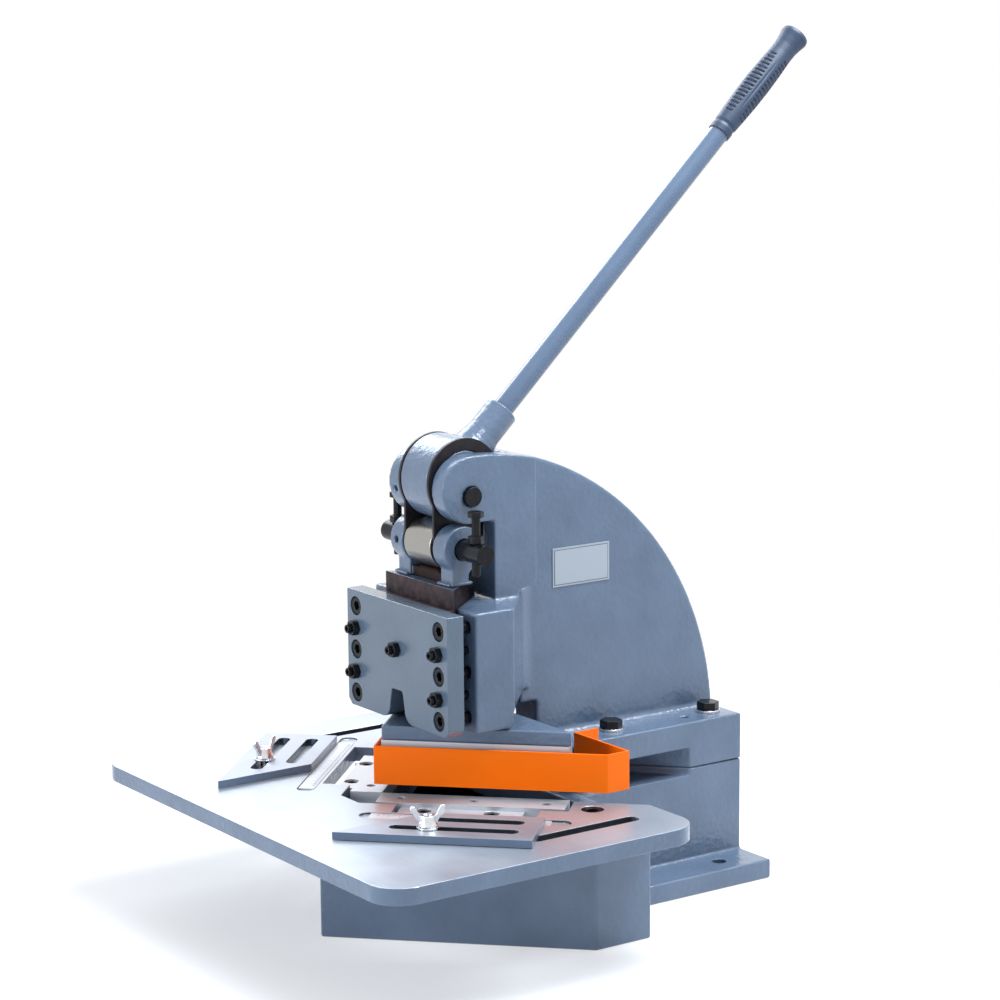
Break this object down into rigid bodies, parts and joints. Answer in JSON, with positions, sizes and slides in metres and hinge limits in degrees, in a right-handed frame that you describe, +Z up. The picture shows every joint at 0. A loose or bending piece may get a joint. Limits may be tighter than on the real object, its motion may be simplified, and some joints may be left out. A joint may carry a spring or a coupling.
{
  "type": "corner notcher",
  "caption": "Hand-lever corner notcher with a V punch, a cast frame on a cast base, a steel table with sliding stops and a strip guard.",
  "frame": {"origin": "centre of the bench bolt holes on the underside of the base", "axes": "+Z up, -Y towards the operator, X along the table"},
  "size_m": [0.51, 0.6549, 0.8126],
  "materials": {
    "painted_casting": "satin",
    "ground_steel": "satin",
    "black_oxide": "satin",
    "zinc_plate": "satin",
    "oxidised_steel": "matte",
    "orange_paint": "gloss",
    "bronze": "satin",
    "grip_rubber": "matte"
  },
  "bodies": {
    "frame": {"base_casting": "painted_casting", "frame_casting": "painted_casting", "frame_bolts": "black_oxide", "frame_washers": "zinc_plate", "locating_pins": "black_oxide", "work_table": "ground_steel", "table_screws": "black_oxide", "left_scale_strip": "ground_steel", "right_scale_strip": "ground_steel", "left_die_holder": "ground_steel", "right_die_holder": "ground_steel", "left_lower_blade": "ground_steel", "right_lower_blade": "ground_steel", "blade_screws": "black_oxide", "die_clamp_screws": "black_oxide", "die_adjusting_screws": "zinc_plate", "cover_plate": "painted_casting", "cover_screws": "black_oxide", "jack_screws": "black_oxide", "jack_nuts": "black_oxide", "gib_plate": "oxidised_steel", "gib_screw": "black_oxide", "gib_nut": "black_oxide", "pivot_pin": "black_oxide", "pivot_set_screw": "black_oxide", "guard": "orange_paint", "guard_screws": "black_oxide", "left_stop_stud": "zinc_plate", "right_stop_stud": "zinc_plate"},
    "ram": {"ram_block": "oxidised_steel", "clevis_ears": "painted_casting", "punch_holder": "painted_casting", "punch_holder_screws": "black_oxide", "left_upper_blade": "ground_steel", "right_upper_blade": "ground_steel", "upper_blade_screws": "black_oxide", "roller_pin": "black_oxide", "roller_pin_set_screw": "black_oxide", "stop_bolts": "black_oxide", "stop_bolt_nuts": "black_oxide"},
    "roller": {"roller": "ground_steel"},
    "lever": {"lever_hub": "painted_casting", "hub_bush": "bronze", "lever_rod": "painted_casting", "hand_grip": "grip_rubber"},
    "links": {"left_side_link": "black_oxide", "right_side_link": "black_oxide"},
    "left_clamp": {"left_stop_washer": "zinc_plate"},
    "right_clamp": {"right_stop_washer": "zinc_plate"},
    "left_stop": {"left_stop": "ground_steel"},
    "right_stop": {"right_stop": "ground_steel"},
    "left_wing_nut": {"left_wing_nut": "zinc_plate"},
    "right_wing_nut": {"right_wing_nut": "zinc_plate"}
  },
  "joints": [
    {"name": "lever_swing", "type": "hinge", "parent": "frame", "child": "lever", "pos_m": [0, -0.195, 0.3995], "axis": [1, 0, 0], "range_deg": [0, 140]},
    {"name": "ram_slide", "type": "slide", "parent": "frame", "child": "ram", "axis": [0, 0, -1], "range_m": [0, 0.01739]},
    {"name": "link_swing", "type": "hinge", "parent": "lever", "child": "links", "pos_m": [0, -0.189, 0.4105], "axis": [1, 0, 0], "range_deg": [-123.22, 0]},
    {"name": "roller_spin", "type": "hinge", "parent": "ram", "child": "roller", "pos_m": [0, -0.204, 0.3515], "axis": [1, 0, 0], "continuous": true},
    {"name": "left_stop_swing", "type": "hinge", "parent": "frame", "child": "left_clamp", "pos_m": [-0.14036, -0.30937, 0.1344], "axis": [0, 0, 1], "range_deg": [-30, 30]},
    {"name": "left_stop_slide", "type": "slide", "parent": "left_clamp", "child": "left_stop", "axis": [-0.7071, 0.7071, 0], "range_m": [-0.073, 0.028]},
    {"name": "left_wing_nut_turn", "type": "hinge", "parent": "frame", "child": "left_wing_nut", "pos_m": [-0.14036, -0.30937, 0.14], "axis": [0, 0, 1], "continuous": true},
    {"name": "right_stop_swing", "type": "hinge", "parent": "frame", "child": "right_clamp", "pos_m": [0.14036, -0.30937, 0.1344], "axis": [0, 0, 1], "range_deg": [-30, 30]},
    {"name": "right_stop_slide", "type": "slide", "parent": "right_clamp", "child": "right_stop", "axis": [0.7071, 0.7071, 0], "range_m": [-0.073, 0.028]},
    {"name": "right_wing_nut_turn", "type": "hinge", "parent": "frame", "child": "right_wing_nut", "pos_m": [0.14036, -0.30937, 0.14], "axis": [0, 0, 1], "continuous": true}
  ],
  "couplings": [
    {"joint": "ram_slide", "follows": "lever_swing", "m_per_rad": 0.0071162},
    {"joint": "link_swing", "follows": "lever_swing", "ratio": -0.88018}
  ]
}
